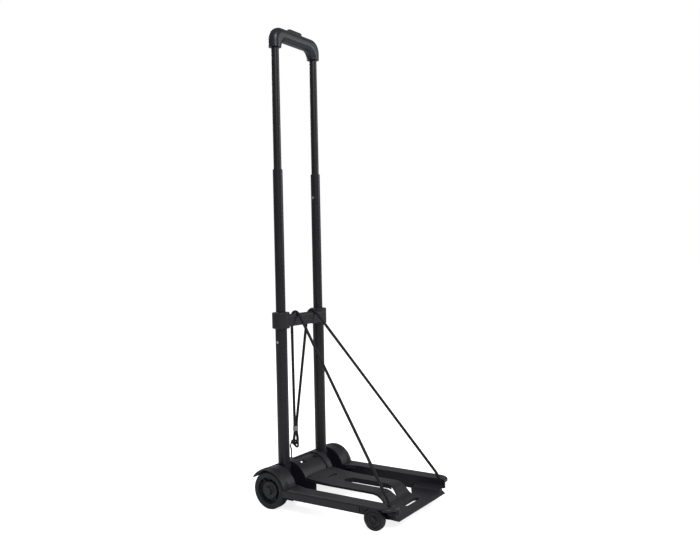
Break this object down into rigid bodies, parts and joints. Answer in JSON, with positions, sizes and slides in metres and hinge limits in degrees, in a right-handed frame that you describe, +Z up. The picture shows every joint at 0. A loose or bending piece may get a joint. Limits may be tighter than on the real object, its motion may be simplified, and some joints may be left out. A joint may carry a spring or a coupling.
{
  "type": "folding platform cart",
  "caption": "Folding platform cart with a telescoping twin-tube handle, moulded platform, large rear and small front wheels, and an elastic cord with a hook",
  "frame": {"origin": "on the floor, under the middle of the cart", "axes": "X along the rear axle, -Y towards the front of the platform, +Z up along the tubes"},
  "size_m": [0.248, 0.325, 0.975],
  "materials": {
    "platform_plastic": "moulded black plastic, fine grain",
    "joint_plastic": "moulded black plastic, smooth",
    "grip_plastic": "moulded black plastic, satin",
    "wheel_plastic": "moulded black plastic",
    "tyre": "black, smooth tread",
    "tube_paint": "black powder coat, satin",
    "bare_steel": "zinc plated",
    "dark_steel": "black oxide",
    "bright_steel": "polished spring steel",
    "ferrule_metal": "crimped, satin",
    "cord": "braided sheath over rubber",
    "hook_coat": "dipped black coating over wire"
  },
  "bodies": {
    "base": {"platform": "platform_plastic", "rear_axle": "bare_steel", "axle_cap_left": "bare_steel", "axle_cap_right": "bare_steel", "rear_axle_washers": "bare_steel", "front_axle_left": "bare_steel", "front_axle_right": "bare_steel", "cord_front_left": "cord", "cord_front_right": "cord", "cord_knot_left": "cord", "cord_knot_right": "cord", "cord_hook": "hook_coat", "cord_ferrule": "ferrule_metal"},
    "rear_left": {"rear_tyre_left": "tyre", "rear_wheel_left": "wheel_plastic"},
    "rear_right": {"rear_tyre_right": "tyre", "rear_wheel_right": "wheel_plastic"},
    "front_left": {"front_wheel_left": "wheel_plastic"},
    "front_right": {"front_wheel_right": "wheel_plastic"},
    "frame": {"foot_left": "joint_plastic", "foot_right": "joint_plastic", "lower_tube_left": "tube_paint", "lower_tube_right": "tube_paint", "foot_rivets": "dark_steel", "tube_bracket": "joint_plastic", "bracket_screws": "dark_steel", "cord_back": "cord"},
    "middle_stage": {"middle_tube_left": "tube_paint", "middle_tube_right": "tube_paint", "middle_glide_left": "joint_plastic", "middle_glide_right": "joint_plastic", "mouth_ring_left": "joint_plastic", "mouth_ring_right": "joint_plastic", "middle_lock_left": "bright_steel", "middle_lock_right": "bright_steel"},
    "upper_stage": {"upper_tube_left": "tube_paint", "upper_tube_right": "tube_paint", "upper_glide_left": "joint_plastic", "upper_glide_right": "joint_plastic", "upper_lock_left": "bright_steel", "upper_lock_right": "bright_steel", "handle_grip": "grip_plastic"},
    "release": {"release_button": "grip_plastic", "release_yoke": "joint_plastic", "release_rod_left": "bare_steel", "release_rod_right": "bare_steel"}
  },
  "joints": [
    {"name": "rear_left_spin", "type": "hinge", "parent": "base", "child": "rear_left", "pos_m": [-0.107, 0.125, 0.0375], "axis": [1, 0, 0], "continuous": true},
    {"name": "rear_right_spin", "type": "hinge", "parent": "base", "child": "rear_right", "pos_m": [0.107, 0.125, 0.0375], "axis": [1, 0, 0], "continuous": true},
    {"name": "front_left_spin", "type": "hinge", "parent": "base", "child": "front_left", "pos_m": [-0.109, -0.1184, 0.0214], "axis": [1, 0, 0], "continuous": true},
    {"name": "front_right_spin", "type": "hinge", "parent": "base", "child": "front_right", "pos_m": [0.109, -0.1184, 0.0214], "axis": [1, 0, 0], "continuous": true},
    {"name": "frame_fold", "type": "hinge", "parent": "base", "child": "frame", "pos_m": [0, 0.125, 0.0375], "axis": [1, 0, 0], "range_deg": [0, 90], "deforming": ["cord_front_left", "cord_front_right", "cord_back"]},
    {"name": "middle_slide", "type": "slide", "parent": "frame", "child": "middle_stage", "axis": [0, 0, 1], "range_m": [-0.2, 0], "deforming": ["middle_lock_left", "middle_lock_right"]},
    {"name": "upper_slide", "type": "slide", "parent": "middle_stage", "child": "upper_stage", "axis": [0, 0, 1], "range_m": [-0.245, 0], "deforming": ["upper_lock_left", "upper_lock_right"]},
    {"name": "release_press", "type": "slide", "parent": "upper_stage", "child": "release", "axis": [0, 0, -1], "range_m": [0, 0.004], "stiffness_N_per_m": 600, "springref_m": -0.004}
  ]
}
